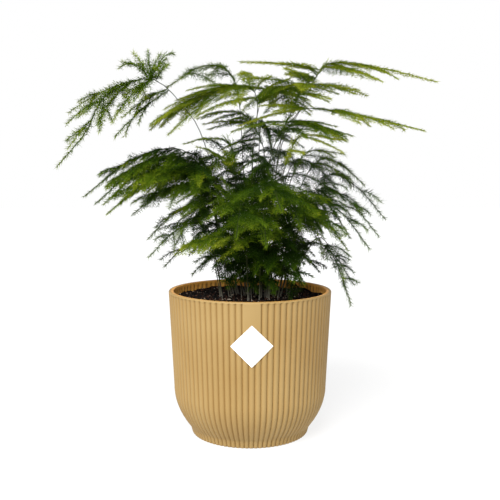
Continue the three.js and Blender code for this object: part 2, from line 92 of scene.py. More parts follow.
# Nodes of a material or of the world
class Nodes:
    def __init__(self, owner, shader, sockets):
        owner.use_nodes = True
        self.owner, self.tree = owner, owner.node_tree
        self.shader = self.tree.nodes[shader]
        self.fill(self.shader, sockets)

    # Sets each socket, or links an output to it
    def fill(self, node, sockets):
        for key, value in sockets.items():
            if isinstance(value, bpy.types.NodeSocket):
                self.tree.links.new(value, node.inputs[key])
            else:
                node.inputs[key].default_value = value

    # The owner, once the shader has its last sockets
    def finished(self, sockets):
        self.fill(self.shader, sockets)
        return self.owner

    def add(self, kind, sockets, output=0, **properties):
        node = self.tree.nodes.new("ShaderNode" + kind)
        for key, value in properties.items():
            setattr(node, key, value)
        self.fill(node, sockets)
        return node.outputs[output]

    def attribute(self, name):
        return self.add("Attribute", {}, "Fac", attribute_name=name)

    def axis(self, coordinates, name):
        return self.add("SeparateXYZ", {"Vector": self.add("TexCoord", {}, coordinates)}, name)

    def noise(self, scale, detail=3.0, roughness=0.5):
        return self.add("TexNoise", {"Vector": self.add("TexCoord", {}, "Object"), "Scale": scale,
                                     "Detail": detail, "Roughness": roughness})

    def ramp(self, factor, stops):
        color = self.add("ValToRGB", {"Fac": factor})
        elements = color.node.color_ramp.elements
        while len(elements) < len(stops):
            elements.new(0.5)
        for element, (position, value) in zip(elements, stops):
            element.position = position
            element.color = (*value, 1)
        return color

    def multiplied(self, first, second):
        return self.mixed(1.0, first, second, "MULTIPLY")

    def mixed(self, factor, first, second, blend="MIX"):
        return self.add("Mix", {0: factor, 6: first, 7: second}, 2, data_type="RGBA", blend_type=blend)

    # From low to high while the factor goes from start to end
    def scaled(self, factor, low, high, start=0.0, end=1.0):
        return self.add("MapRange", {0: factor, 1: start, 2: end, 3: low, 4: high})

    def bump(self, height, strength, distance):
        return self.add("Bump", {"Height": height, "Strength": strength, "Distance": distance})


def paint(name, base, roughness, specular=0.5):
    sockets = {"Base Color": (*base, 1), "Roughness": roughness, "Specular IOR Level": specular}
    return Nodes(bpy.data.materials.new(name), "Principled BSDF", sockets)


# Screen color from 0 to 255 as light: straight near black, then to the power 2.4
def linear(red, green, blue):
    shares = (red / 255, green / 255, blue / 255)
    return tuple(((c + 0.055) / 1.055) ** 2.4 if c > 0.04 else c / 12.92 for c in shares)


# The photo's view, which looks down by so many degrees
camera = {"place": (0, -650, 222), "lookDown": 5.6, "lens": 54.5, "sensor": 36}


def addCamera():
    data = bpy.data.cameras.new("camera")
    data.lens = camera["lens"]
    data.sensor_width = camera["sensor"]
    eye = newObject("camera", data)
    eye.location = Vector(camera["place"]) * millimetre
    eye.rotation_euler = (math.radians(90 - camera["lookDown"]), 0, 0)
    bpy.context.scene.camera = eye
    bpy.context.scene.view_settings.view_transform = "Standard"
    print("camera", camera["lens"], "mm lens")


sun = {"from": (-0.44, -1.08, 1.22), "strength": 5.0, "softness": 38}


# One wide soft sun from the upper left, in front
def addSun():
    data = bpy.data.lights.new("sun", "SUN")
    data.energy = sun["strength"]
    data.angle = math.radians(sun["softness"])
    newObject("sun", data).rotation_euler = (-Vector(sun["from"])).to_track_quat("-Z", "Y").to_euler()
    print("sun", sun["strength"])


room = {
    "floorSize": 9000, "floorColor": (0.18, 0.18, 0.18), "floorGlow": 0.82, "floorRoughness": 0.9,
    "floorSpecular": 0.1, "wallTop": 0.24, "ceilingFrom": 0.4, "ceiling": 0.3,
}


# White up to wallTop, a sine of the height angle, and darker at the ceiling, over a floor that glows
def addRoom():
    nodes = Nodes(bpy.data.worlds.new("studio"), "Background", {"Color": (1, 1, 1, 1)})
    height = nodes.axis("Generated", "Z")
    glow = nodes.scaled(height, 1, room["ceiling"], room["wallTop"], room["ceilingFrom"])
    bpy.context.scene.world = nodes.finished({"Strength": glow})
    half = room["floorSize"] / 2
    corners = np.array([[-half, -half, 0], [half, -half, 0], [half, half, 0], [-half, half, 0]])
    floor = paint("floor_paint", room["floorColor"], room["floorRoughness"], room["floorSpecular"])
    floor.finished({"Emission Color": (1, 1, 1, 1), "Emission Strength": room["floorGlow"]})
    meshPiece("floor", corners, np.array([[0, 1, 2, 3]]), floor.owner)
    print("room", room["floorSize"], "mm floor")


# Measures are the solid's. The smooth band is bandRibs wide and ends at bandFoot
pot = {
    "height": 124, "rim": 70.2, "rimBand": 0.8, "rimInset": 0.3, "edge": 0.7, "belt": 66,
    "beltHeight": 40.5, "bellyRoundness": 1.97, "neck": 52.8, "neckHeight": 7.2, "foot": 50.6,
    "footBevel": 0.6, "footHollow": 0.75,
    "mouth": 66, "innerBelt": 61.5, "innerFloor": 48, "floorHeight": 9, "facing": 1.2,
    "ribs": 84, "ribDepth": 1.9, "samples": 8, "ribRoundness": 1.94, "ribFade": 0.6, "deepest": 0.757,
    "innerRibTop": 1.8, "innerRibFade": 0.8, "innerRibShare": 1.1,
    "bandRibs": 3, "bandFoot": 86, "bandBlend": 2.5,
    "base": linear(158, 130, 81), "pale": linear(161, 134, 86), "deep": linear(153, 124, 75),
    # Painted shade in the grooves: its colour, and its power and strength outside and inside
    "groove": (0.74, 0.62, 0.42, 1), "outerShade": (1.3, 0.75), "innerShade": (0.7, 1.0),
    # Painted warm bounce light on the inner wall, with the painted shade in its grooves that dims it
    "inside": (2.7, 1.95, 0.95, 1), "insideShade": 0.8, "specular": 0.2,
}


# Outer radius of the wall, which widens evenly from the belt to the rim
def wallRadius(height):
    share = (height - pot["beltHeight"]) / (pot["height"] - pot["beltHeight"])
    return pot["belt"] + (pot["rim"] - pot["belt"]) * share


# Round edge of the rim about a middle radius, from straight up to an angle
def rimEdge(middle, end, steps):
    return [(middle + pot["edge"] * math.cos(a), pot["height"] - pot["edge"] + pot["edge"] * math.sin(a), 0)
            for a in np.radians(np.linspace(90, end, steps))]


# Radius, height and share of the ribs' depth down the outside: the rim, the wall, a rounded quarter ellipse
# for the belly, a hollow curve to the foot and the base
def outerProfile():
    top, belt, neck = pot["height"], pot["beltHeight"], pot["neckHeight"]
    ribTop = top - pot["rimBand"]
    blendTop = pot["bandFoot"] + pot["bandBlend"]
    wall = np.concatenate([[ribTop, ribTop - 0.5], np.linspace(top - 3.2, blendTop, 5),
                           np.linspace(pot["bandFoot"] + pot["bandBlend"] / 2, pot["bandFoot"] - 1, 3),
                           np.linspace(pot["bandFoot"] - 8, belt, 5)])
    wallRows = [(wallRadius(z), z, min(1, (ribTop - z) / pot["ribFade"])) for z in wall]
    bellyRows = [(pot["neck"] + (pot["belt"] - pot["neck"]) * math.cos(a) ** pot["bellyRoundness"],
                  belt - (belt - neck) * math.sin(a), 1) for a in np.radians(np.linspace(4, 90, 18))]
    footRows = [(pot["neck"] + (pot["foot"] - pot["neck"]) * s ** pot["footHollow"],
                 neck * (1 - s) + pot["footBevel"] * s, 1) for s in np.linspace(0, 1, 8)[1:]]
    baseRows = [(pot["foot"] - pot["footBevel"], 0, 0.8), (pot["foot"] - 4, 0, 0), (0.01, 0, 0)]
    rimRows = rimEdge(pot["rim"] - pot["rimInset"] - pot["edge"], 0, 7)
    return rimRows + wallRows + bellyRows + footRows + baseRows


# The same down the inside: the rim, a sloping wall and the floor
def innerProfile():
    top = pot["height"]
    slope = (pot["mouth"] - pot["innerBelt"]) / (top - pot["beltHeight"])
    wallRows = [(pot["mouth"] - slope * (top - z), z,
                 min(1, (top - pot["innerRibTop"] - z) / pot["innerRibFade"]))
                for z in (122, 121, 119, 116, 112, 80, pot["beltHeight"])]
    floorRows = [(pot["innerFloor"], pot["floorHeight"], 0), (0.01, pot["floorHeight"], 0)]
    return rimEdge(pot["mouth"] + pot["edge"], 180, 5)[1:] + wallRows + floorRows


# Depth round the pot: each rib is an arc of a circle, deepest where two meet
def ribPattern():
    across = 0.5 * np.sin(np.pi / 2 * np.linspace(-1, 1, pot["samples"] + 1)[:-1])
    depth = 1 - np.sqrt(1 - (pot["ribRoundness"] * across) ** 2)
    angles = ((np.arange(pot["ribs"])[:, None] + across[None, :]) * 2 * np.pi / pot["ribs"]).ravel()
    return angles, np.tile(depth, pot["ribs"])


# Ochre that varies, times a painted shade in the grooves and a painted warm bounce light inside, with a
# fine grain
def potMaterial():
    nodes = paint("pot_plastic_look", pot["base"], 0.5, pot["specular"])
    white = (1, 1, 1, 1)
    broad = nodes.ramp(nodes.noise(18, 2), [(0.3, pot["deep"]), (0.7, pot["pale"])])
    # Painted shade: darker in the grooves, by their depth
    outside = nodes.multiplied(broad, nodes.mixed(nodes.attribute("groove"), white, pot["groove"]))
    # Painted warm bounce light on the inner wall
    inside = nodes.mixed(nodes.attribute("inside"), white, pot["inside"])
    grain = nodes.noise(2600, 2)
    return nodes.finished({"Base Color": nodes.multiplied(outside, inside),
                           "Roughness": nodes.scaled(grain, 0.46, 0.62),
                           "Normal": nodes.bump(grain, 0.12, 0.00015)})


# The profile turned round, less the ribs' depth outside and with it inside, and no ribs on the band
def addPot():
    angles, depth = ribPattern()
    inner = innerProfile()
    radii, heights, cut = np.array(inner[::-1] + outerProfile()).T
    isOuter = np.arange(len(radii)) >= len(inner)
    ribs = cut[:, None] * depth[None, :] * pot["ribDepth"]
    pitch = 2 * np.pi / pot["ribs"]
    fromFront = np.abs((angles + np.pi) % (2 * np.pi) - np.pi) / pitch
    inBand = np.clip((pot["bandRibs"] / 2 - 0.04 - fromFront) / 0.1, 0, 1)
    above = np.clip((heights - pot["bandFoot"]) / pot["bandBlend"], 0, 1)
    keep = 1 - inBand[None, :] * (above * isOuter)[:, None]
    radius = radii[:, None] + np.where(isOuter, -1.0, pot["innerRibShare"])[:, None] * ribs * keep
    turn = angles[None, :] - np.pi / 2 + math.radians(pot["facing"])
    points = around(radius, turn, np.broadcast_to(heights[:, None], radius.shape))
    faces = wrappedGrid(len(radii), len(angles))[:, ::-1]
    # Painted shade in the grooves, darker the deeper they are
    shades = zip(pot["outerShade"], pot["innerShade"])
    power, strength = (np.where(isOuter, *pair)[:, None] for pair in shades)
    groove = np.clip(ribs * keep / pot["ribDepth"] / pot["deepest"], 0, 1) ** power * strength
    # Painted warm bounce light on the inner wall, dimmed in its grooves by painted shade
    inside = np.where(isOuter, 0.0, 1.0)[:, None] * (1 - pot["insideShade"] * groove)
    piece = meshPiece("pot_body", points.reshape(-1, 3), faces, potMaterial(), flat=False,
                      groove=groove.ravel(), inside=inside.ravel())
    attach(piece, "root")
    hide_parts("pot")
    print("pot", len(faces) * 2, "triangles")


label = {
    "side": 24, "height": 89, "lift": 0.15, "thickness": 0.25, "cells": 24,
    "base": linear(244, 244, 242), "dark": linear(240, 240, 238), "light": linear(248, 248, 247),
}


# White paper with a fine grain
def labelMaterial():
    nodes = paint("label_look", label["base"], 0.42)
    grain = nodes.noise(900, 2)
    tones = nodes.ramp(grain, [(0.3, label["dark"]), (0.7, label["light"])])
    return nodes.finished({"Base Color": tones, "Normal": nodes.bump(grain, 0.05, 0.0001)})


# A square on its corner, wrapped round the pot's wall: front, back and a thin edge
def addLabel():
    count = label["cells"] + 1
    steps = np.linspace(-0.5, 0.5, count) * label["side"]
    u, v = np.meshgrid(steps, steps, indexing="ij")
    across = (u - v) / math.sqrt(2)
    height = label["height"] + (u + v) / math.sqrt(2)
    turn = across / wallRadius(label["height"]) - np.pi / 2 + math.radians(pot["facing"])
    points = np.concatenate([around(wallRadius(height) + lift, turn, height).reshape(-1, 3)
                             for lift in (label["lift"], label["lift"] + label["thickness"])])
    grid = np.arange(count**2).reshape(count, count)
    front = np.stack([grid[:-1, :-1], grid[1:, :-1], grid[1:, 1:], grid[:-1, 1:]], -1).reshape(-1, 4)
    border = np.concatenate([grid[:-1, 0], grid[-1, :-1], grid[:0:-1, -1], grid[0, :0:-1]])
    after = np.roll(border, -1)
    edge = np.stack([border, after, after + count**2, border + count**2], -1)
    faces = np.concatenate([front + count**2, front[:, ::-1], edge])
    piece = meshPiece("label_blank", points, faces, labelMaterial())
    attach(piece, "root")
    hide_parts("label")
    print("label", len(faces) * 2, "triangles")


# Waves are rows of length, height and number. A crumb's kind is its place on the ramp of colors
soil = {
    "top": 117.5, "radius": 65.4, "rings": 40, "spokes": 120, "skirt": 8, "centre": 0.004,
    "waves": [(30, 0.9, 6), (8, 0.45, 14), (3.2, 0.35, 24)], "waveSpread": (0.7, 1.4),
    "crumbs": 3600, "crumbSize": (0.38, 1.05), "smallCrumbs": 2.2, "margin": 1.5, "raised": 0.35,
    "corners": (0.6, 1.4), "squash": (0.6, 1.2), "specks": 0.08, "reddish": 0.42,
    "speckKind": 1.0, "reddishKinds": (0.6, 0.9), "darkKinds": (0.0, 0.5), "groundKinds": (0.1, 0.4),
    "base": linear(30, 22, 16), "roughness": 0.9, "specular": 0.12,
    "colors": [(0.0, linear(4, 3, 3)), (0.45, linear(20, 14, 11)), (0.75, linear(62, 38, 28)),
               (0.93, linear(92, 66, 50)), (1.0, linear(146, 132, 116))],
}


# Each crumb's own color, with a coarse bump
def soilMaterial():
    nodes = paint("potting_soil_look", soil["base"], soil["roughness"], soil["specular"])
    return nodes.finished({"Base Color": nodes.ramp(nodes.attribute("kind"), soil["colors"]),
                           "Normal": nodes.bump(nodes.noise(1400, 4, 0.65), 0.6, 0.0004)})


# Octahedron, the start of each crumb
def octahedron():
    points = np.array([[1, 0, 0], [0, 1, 0], [-1, 0, 0], [0, -1, 0], [0, 0, 1], [0, 0, -1]], float)
    faces = np.array([[i, (i + 1) % 4, 4] for i in range(4)] + [[(i + 1) % 4, i, 5] for i in range(4)])
    return points, faces


# Height of the soil: a sum of sine waves that run every way
def soilRelief(x, y, rng):
    height = np.zeros_like(x)
    for size, amount, waves in soil["waves"]:
        for _ in range(waves):
            angle, phase = rng.uniform(0, 2 * np.pi, 2)
            length = size * rng.uniform(*soil["waveSpread"])
            wave = (x * np.cos(angle) + y * np.sin(angle)) * 2 * np.pi / length
            height += amount / math.sqrt(waves) * np.sin(wave + phase)
    return height


# Crumbs at even density over the disc, most of them small
def soilCrumbs(surface, rng):
    count = soil["crumbs"]
    ball, ballFaces = octahedron()
    low, high = soil["crumbSize"]
    size = low + (high - low) * rng.random(count) ** soil["smallCrumbs"]
    distance = (soil["radius"] - soil["margin"]) * np.sqrt(rng.random(count))
    angle = rng.uniform(0, 2 * np.pi, count)
    ring = np.clip((distance / soil["radius"] * (soil["rings"] - 1)).astype(int), 0, soil["rings"] - 1)
    level = surface[ring, (angle / (2 * np.pi) * soil["spokes"]).astype(int) % soil["spokes"]]
    shape = ball[None] * rng.uniform(*soil["corners"], (count, 6, 1))
    crumbs = shape * rng.uniform(*soil["squash"], (count, 1, 3)) * size[:, None, None]
    crumbs += around(distance, angle, level + soil["raised"] * size)[:, None]
    draw = rng.random(count)
    kind = np.where(draw < soil["specks"], soil["speckKind"], np.where(
        draw < soil["specks"] + soil["reddish"], rng.uniform(*soil["reddishKinds"], count),
        rng.uniform(*soil["darkKinds"], count)))
    faces = (ballFaces[None] + 6 * np.arange(count)[:, None, None]).reshape(-1, 3)
    return (crumbs.reshape(-1, 3), faces), np.repeat(kind, 6)


# A disc in waves with a skirt down its side, closed below, and crumbs all over it
def addSoil():
    rng = np.random.default_rng(5)
    rings = soil["radius"] * np.linspace(soil["centre"], 1, soil["rings"])
    turn = np.linspace(0, 2 * np.pi, soil["spokes"], endpoint=False)
    x, y = rings[:, None] * np.cos(turn), rings[:, None] * np.sin(turn)
    level = soil["top"] + soilRelief(x, y, rng)
    top = np.stack([x, y, level], -1)[::-1]
    skirt = top[0] * [1, 1, 0] + [0, 0, soil["top"] - soil["skirt"]]
    under = skirt * [soil["centre"], soil["centre"], 1]
    disc = np.concatenate([under[None], skirt[None], top]).reshape(-1, 3)
    crumbs, crumbKinds = soilCrumbs(level, rng)
    points, faces = joined([(disc, halved(wrappedGrid(soil["rings"] + 2, soil["spokes"]))), crumbs])
    kinds = np.concatenate([rng.uniform(*soil["groundKinds"], len(disc)), crumbKinds])
    piece = meshPiece("soil_crumbly", points, faces, soilMaterial(), kind=kinds)
    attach(piece, "root")
    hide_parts("soil")
    print("soil", len(faces), "triangles")


# A line at(t) for t from 0 to 1: its length is the sum of its chords, and even() goes by shares of it
class Curve:
    def __init__(self, at):
        self.at = at
        self.steps = np.linspace(0, 1, 201)
        chords = np.linalg.norm(np.diff(at(self.steps), axis=0), axis=1)
        self.lengths = np.concatenate([[0], np.cumsum(chords)])

    def length(self):
        return self.lengths[-1]

    def even(self, shares):
        return self.at(np.interp(np.asarray(shares, float) * self.length(), self.lengths, self.steps))


# Smooth line through places: a cubic between each two, whose slope at a place is half the step past it
def throughPoints(places):
    padded = np.concatenate([[2 * places[0] - places[1]], places, [2 * places[-1] - places[-2]]])

    def at(t):
        spans = len(places) - 1
        i = np.clip((t * spans).astype(int), 0, spans - 1)
        w = (t * spans - i)[:, None]
        p0, p1, p2, p3 = (padded[i + k] for k in range(4))
        t0 = 0.5 * (p2 - p0)
        t1 = 0.5 * (p3 - p1)
        return (2 * p1 - 2 * p2 + t0 + t1) * w**3 + (3 * p2 - 3 * p1 - 2 * t0 - t1) * w**2 + t0 * w + p1

    return Curve(at)


# Parabola from root to tip that passes arch above the middle of the chord
def archedCurve(root, tip, arch):
    middle = (root + tip) / 2 + 2 * arch * up

    def at(t):
        w = t[:, None]
        return (1 - w) ** 2 * root + 2 * w * (1 - w) * middle + w**2 * tip

    return Curve(at)


# The point length away in a heading and drop lower
def away(root, heading, length, drop):
    return root + [length * math.cos(heading), length * math.sin(heading), -drop]


# A plume over a parabola, level across
def plume(root, tip, arch, width):
    across = np.cross(unit((tip - root) * [1, 1, 0]), up)
    return {"curve": archedCurve(root, tip, arch), "across": across, "width": width}


# Directions ahead, sideways and up along points
def framesOf(points, across):
    before = np.concatenate([points[:1], points[:-1]])
    after = np.concatenate([points[1:], points[-1:]])
    ahead = unit(after - before)
    side = unit(across - ahead * (ahead @ across)[:, None])
    return ahead, side, np.cross(side, ahead)


# Stems stand as in the solids, their feet in oval rings by the height of the crest
clump = {
    "middle": 4, "across": [9, 16, 23, 30], "along": [7, 12, 17, 22], "ringHeights": [268, 232, 200],
    "apart": 4.6, "rounds": 400, "footHeight": 119.5, "shoulderReach": 0.5, "shoulderRise": 0.7,
    "bulge": 0.13,
}
# Coarse branchlets, and sprays by rule: place on the stem, turn, length, drop and width
spray = {
    "spacing": 12, "fewest": 3, "most": 6, "slant": 38, "sag": 0.12, "arch": 0.09,
    "crownShare": 0.36, "crownWidth": 12, "bareSteps": 4,
    "from": 0.5, "run": 0.38, "shift": 0.03, "turn": 72, "turnLess": 26, "turnMore": 16,
    "long": 1.1, "shorter": 0.45, "least": 0.9, "longer": 0.2, "drop": 0.32, "dropLeast": 0.6,
    "dropMore": 0.8, "narrow": 7, "widen": 0.13, "widest": 15,
}
# Steps by which stems and sprays are moved to meet their node, how closely and with how many branchlets
search = {
    "liftStep": 2, "lifts": 11, "turnStep": 5, "turns": 7, "bendStep": 4, "bends": 11,
    "shortenings": [1, 0.85, 0.7, 0.55], "within": 0.08, "matched": 0.55,
}
# Rows of the name, youth, crown's width, manner, share of plumes added, route and sprays. A spray is its
# place on the stem, the tip, the rise of the arch and the width
tallStems = [
    ["left_tall", 0.45, 10, "feathery", 0.3,
     [[-37, 2, 244], [-57, 0, 281], [-84, -4, 303], [-121, -8, 288], [-138, -9, 258], [-162, -10, 230]],
     [[0.645, -65, 12, 326, 7, 11], [0.65, -113, 18, 315, 8, 12], [0.63, -66, -26, 312, 2, 9],
      [0.68, -158, 20, 277, 4, 14], [0.79, -149, -28, 264, 2, 9], [0.595, -106, -14, 270, 3, 15],
      [0.645, -111, -34, 265, 5, 14], [0.7, -138, 46, 270, 4, 12], [0.78, -122, -30, 258, 2, 11],
      [0.59, -112, -18, 254, 3, 7], [0.64, -93, -38, 282, 3, 11], [0.87, -160, 16, 252, 2, 8]]],
    ["left_arch", 0.4, 7, "feathery", 0.7,
     [[-6, 7, 232], [-13, 6, 302], [-38, 4, 315], [-70, 2, 297]],
     [[0.92, -29, -10, 298, 3, 8], [0.78, -34, 34, 310, 6, 9]]],
    ["left_broad", 0.5, 14, "flat", 2.0,
     [[2, -6, 222], [6, -10, 278], [-8, -12, 290], [-46, -8, 280], [-84, -2, 258]],
     [[0.6, 34, 10, 305, 3, 12], [0.7, -66, -32, 255, 4, 14], [0.66, -22, 52, 292, 5, 14],
      [0.62, -42, -52, 268, 4, 13], [0.8, -62, 40, 272, 4, 13]]],
    ["centre_tall", 0.42, 14, "flat", 2.0,
     [[2, 6, 240], [6, 8, 273], [14, 18, 296], [30, 54, 299], [42, 96, 284]],
     [[0.68, -34, 58, 300, 4, 14], [0.72, 80, 48, 296, 4, 14], [0.8, -8, 98, 284, 4, 13]]],
    ["centre_left", 0.3, 12, "flat", 0.9,
     [[13, 16, 228], [8, 19, 256], [-3, 22, 274], [-20, 27, 279], [-42, 32, 273]],
     [[0.74, -38, 0, 266, 3, 12], [0.74, -18, 66, 274, 4, 13]]],
    ["right_tall", 0.55, 13, "flat", 0.0,
     [[21, 4, 235], [42, 2, 276], [57, -2, 307], [70, -4, 316], [110, -8, 311], [155, -10, 300]],
     [[0.67, -8, 10, 319, 2, 13], [0.68, 103, -46, 296, 3, 14], [0.68, 114, 44, 308, 3, 14],
      [0.63, 34, 56, 314, 4, 13], [0.62, 28, -44, 306, 3, 12]]],
    ["right_second", 0.6, 13, "flat", 0.5,
     [[24, -9, 240], [36, -13, 278], [48, -17, 296], [86, -38, 290]],
     [[0.79, -5, -18, 301, 3, 13], [0.82, 100, 8, 290, 3, 12], [0.8, 40, -56, 288, 3, 12]]],
    ["right_third", 0.58, 14, "flat", 0.4,
     [[23, -15, 232], [34, -20, 264], [46, -20, 277], [94, -18, 271], [144, -18, 259]],
     [[0.6, -17, -26, 283, 3, 13], [0.7, 84, -60, 262, 3, 14], [0.72, 106, 30, 266, 4, 14]]],
    ["right_fourth", 0.34, 13, "flat", 1.0,
     [[15, -22, 224], [25, -29, 256], [37, -32, 266], [82, -38, 254]],
     [[0.74, -15, -42, 260, 3, 13], [0.8, 62, -72, 248, 3, 13], [0.82, 78, 12, 252, 3, 11]]],
    ["right_young", 0.7, 8, "flat", 0.6,
     [[24, -33, 208], [32, -40, 240], [42, -43, 254], [75, -47, 250]],
     [[0.8, 70, -70, 240, 2, 8]]],
    ["right_thin", 0.4, 8, "wispy", 0.3,
     [[32, 6, 205], [44, 10, 236], [54, 12, 244], [82, 14, 241]],
     [[0.84, 76, 38, 238, 2, 8]]],
]
# Rows of the name, crest, tip, number of sprays, their length, youth, manner and share of plumes added
archingStems = [
    ["left_mid_upper", [-58, 10, 244], [-145, 12, 204], 4, 30, 0.24, "drooping", 1.1],
    ["left_mid_middle", [-56, -10, 237], [-129, -17, 199], 4, 50, 0.3, "drooping", 1.9],
    ["left_mid_front", [-44, -28, 228], [-114, -46, 192], 3, 48, 0.34, "drooping", 2.1],
    ["left_mid_lower", [-40, -12, 214], [-98, -20, 190], 3, 42, 0.18, "drooping", 2.0],
    ["left_mid_back", [-50, 32, 234], [-118, 56, 200], 4, 52, 0.15, "drooping", 1.3],
    ["left_small", [-16, -20, 247], [-53, -30, 248], 1, 20, 0.42, "flat", 0.3],
    ["low_left_upper", [-44, 0, 196], [-88, 2, 168], 3, 34, 0.26, "wispy", 0.0],
    ["low_left_middle", [-40, -18, 184], [-85, -18, 154], 2, 32, 0.3, "wispy", 0.5],
    ["low_left_lower", [-36, 10, 168], [-76, 18, 142], 2, 28, 0.1, "wispy", 0.4],
    ["low_left_thin", [-28, 2, 152], [-50, 0, 137], 1, 16, 0.2, "wispy", 0.5],
    ["low_left_bright", [-4, -40, 170], [-58, -52, 160], 3, 32, 0.5, "drooping", 2.0],
    ["right_mid_upper", [60, 12, 236], [100, 14, 214], 3, 34, 0.24, "wispy", 0.2],
    ["right_mid_middle", [68, 0, 223], [116, 0, 185], 3, 33, 0.24, "wispy", 0.25],
    ["right_mid_lower", [60, -14, 212], [109, -10, 171], 3, 33, 0.2, "wispy", 0.3],
    ["right_mid_front", [54, -30, 204], [97, -36, 163], 3, 32, 0.22, "wispy", 0.6],
    ["right_mid_near", [42, -44, 198], [78, -50, 163], 2, 34, 0.3, "drooping", 0.9],
    ["right_mid_back", [54, 36, 206], [94, 60, 164], 4, 40, 0.1, "wispy", 0.0],
    ["low_right_outer", [60, -10, 170], [85, -20, 114], 3, 26, 0.18, "wispy", 0.7],
    ["low_right_middle", [58, 6, 164], [90, 2, 128], 2, 26, 0.1, "wispy", 0.5],
    ["low_right_inner", [36, 12, 156], [62, 20, 137], 2, 20, 0.1, "drooping", 0.2],
    ["front_upper", [12, -44, 214], [23, -100, 196], 4, 44, 0.27, "drooping", 1.0],
    ["front_left", [-6, -46, 202], [-10, -92, 177], 3, 36, 0.28, "drooping", 1.1],
    ["front_right", [28, -44, 204], [38, -84, 184], 3, 36, 0.25, "drooping", 1.1],
    ["front_middle", [10, -48, 192], [12, -88, 170], 2, 32, 0.27, "drooping", 1.0],
    ["front_low", [18, -32, 164], [44, -54, 136], 3, 28, 0.05, "drooping", 1.6],
    ["back_upper", [10, 56, 270], [24, 124, 238], 4, 42, 0.1, "drooping", 0.3],
    ["back_right", [42, 50, 236], [92, 90, 198], 4, 46, 0.1, "drooping", 0.2],
    ["back_left", [-26, 54, 234], [-52, 118, 196], 4, 48, 0.1, "drooping", 0.3],
    ["back_far_left", [-54, 44, 226], [-102, 84, 192], 3, 44, 0.1, "drooping", 0.7],
    ["back_mid", [2, 52, 218], [4, 112, 178], 4, 42, 0.1, "drooping", 0.7],
    ["back_mid_right", [36, 46, 208], [72, 96, 166], 3, 40, 0.1, "drooping", 0.7],
    ["back_mid_left", [-34, 42, 200], [-72, 84, 156], 3, 38, 0.1, "drooping", 0.7],
    ["back_low_right", [24, 36, 168], [48, 74, 138], 2, 26, 0.1, "drooping", 0.7],
    ["back_low_left", [-20, 36, 168], [-44, 72, 138], 2, 26, 0.1, "drooping", 0.7],
]


# Seeded draws between 0 and 1, as in the solids
def seededDraws(seed):
    state = seed
    mask = 0xFFFFFFFF

    def draw():
        nonlocal state
        state = (state + 0x6D2B79F5) & mask
        mixed = ((state ^ (state >> 15)) * (1 | state)) & mask
        mixed = ((mixed + ((mixed ^ (mixed >> 7)) * (61 | mixed))) & mask) ^ mixed
        return (mixed ^ (mixed >> 14)) / 4294967296

    return draw


# A coarse branchlet is 0.62 of the width at the root, soon all of it, and 0.3 at the tip
def branchletLength(width, share):
    return width * (0.62 + 0.38 * np.minimum(1, 4 * share)) * (1 - 0.7 * share * share)


# Tips of the coarse branchlets, by which each stalk is found on its node
def coarseTips(points, across, leafyFrom, width):
    ahead, side, above = framesOf(points, across)
    last = len(points) - 1
    i = np.arange(leafyFrom, last - 1)
    reach = branchletLength(width, (i - leafyFrom) / (last - leafyFrom))[:, None]
    start = (points[i] + points[i + 1]) / 2
    slant = math.radians(spray["slant"])
    forward = start + ahead[i] * reach * math.sin(slant) - above[i] * reach * spray["sag"]
    return np.concatenate([forward + s * side[i] * reach * math.cos(slant) for s in (-1, 1)])


# Whether enough of the tips have a corner of the node close by
def isOnNode(tips, corners):
    nearest = np.sqrt(((tips[:, None] - corners[None]) ** 2).sum(-1)).min(1)
    return (nearest < search["within"]).mean() > search["matched"]


# 0, 1, -1, 2, -2 and so on
def alternating(count):
    return [(1 if i % 2 else -1) * math.ceil(i / 2) for i in range(count)]


# Points turned about the upright axis
def turned(points, degrees):
    c, s = math.cos(math.radians(degrees)), math.sin(math.radians(degrees))
    return points @ np.array([[c, s, 0], [-s, c, 0], [0, 0, 1]])


# The node's corners, each one once
def nodeCorners(name):
    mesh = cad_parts[name].data
    corners = np.zeros(len(mesh.vertices) * 3)
    mesh.vertices.foreach_get("co", corners)
    return np.unique(corners.reshape(-1, 3).round(7), axis=0) / millimetre


# Every stem with its route: a tall stem's own, or from the crest over a point above the middle to the tip
def listStems():
    tallKeys = ("name", "young", "crown", "manner", "fill", "route", "sprays")
    archingKeys = ("name", "crest", "tip", "count", "length", "young", "manner", "fill")
    stems = [dict(zip(tallKeys, row), arching=False) for row in tallStems]
    stems += [dict(zip(archingKeys, row), arching=True, crown=spray["crownWidth"]) for row in archingStems]
    for stem in stems:
        if stem["arching"]:
            crest, tip = np.array([stem["crest"], stem["tip"]], float)
            over = (crest + tip) / 2 + clump["bulge"] * np.linalg.norm(tip - crest) * up
            stem["route"] = [crest, over, tip]
        route = stem["route"] = np.array(stem["route"], float)
        stem["crestHeight"] = route[0][2] if stem["arching"] else route[:, 2].max()
        stem["heading"] = math.atan2(route[-1][1], route[-1][0])
        stem["leaning"] = math.atan2(route[0][1], route[0][0] - clump["middle"])
    return stems


# Feet of one ring start where their stems lean and are pushed apart until none is too close
def spreadFeet(stems, across, along):
    least = 2 * clump["apart"] / (across + along)
    stems.sort(key=lambda stem: stem["leaning"])
    angles = [stem["leaning"] for stem in stems]
    for _ in range(clump["rounds"]):
        for i in range(len(angles)):
            following = (i + 1) % len(angles)
            turn = 2 * math.pi if following == 0 else 0
            lack = least - (angles[following] + turn - angles[i])
            if lack > 0:
                angles[i] -= lack / 2
                angles[following] += lack / 2
    for stem, angle in zip(stems, angles):
        x, y = clump["middle"] + across * math.cos(angle), along * math.sin(angle)
        stem["foot"] = np.array([x, y, clump["footHeight"]])


# The lower a stem's crest, the further out its ring
def placeFeet(stems):
    for i, across in enumerate(clump["across"]):
        inRing = [stem for stem in stems
                  if sum(stem["crestHeight"] < height for height in clump["ringHeights"]) == i]
        spreadFeet(inRing, across, clump["along"][i])


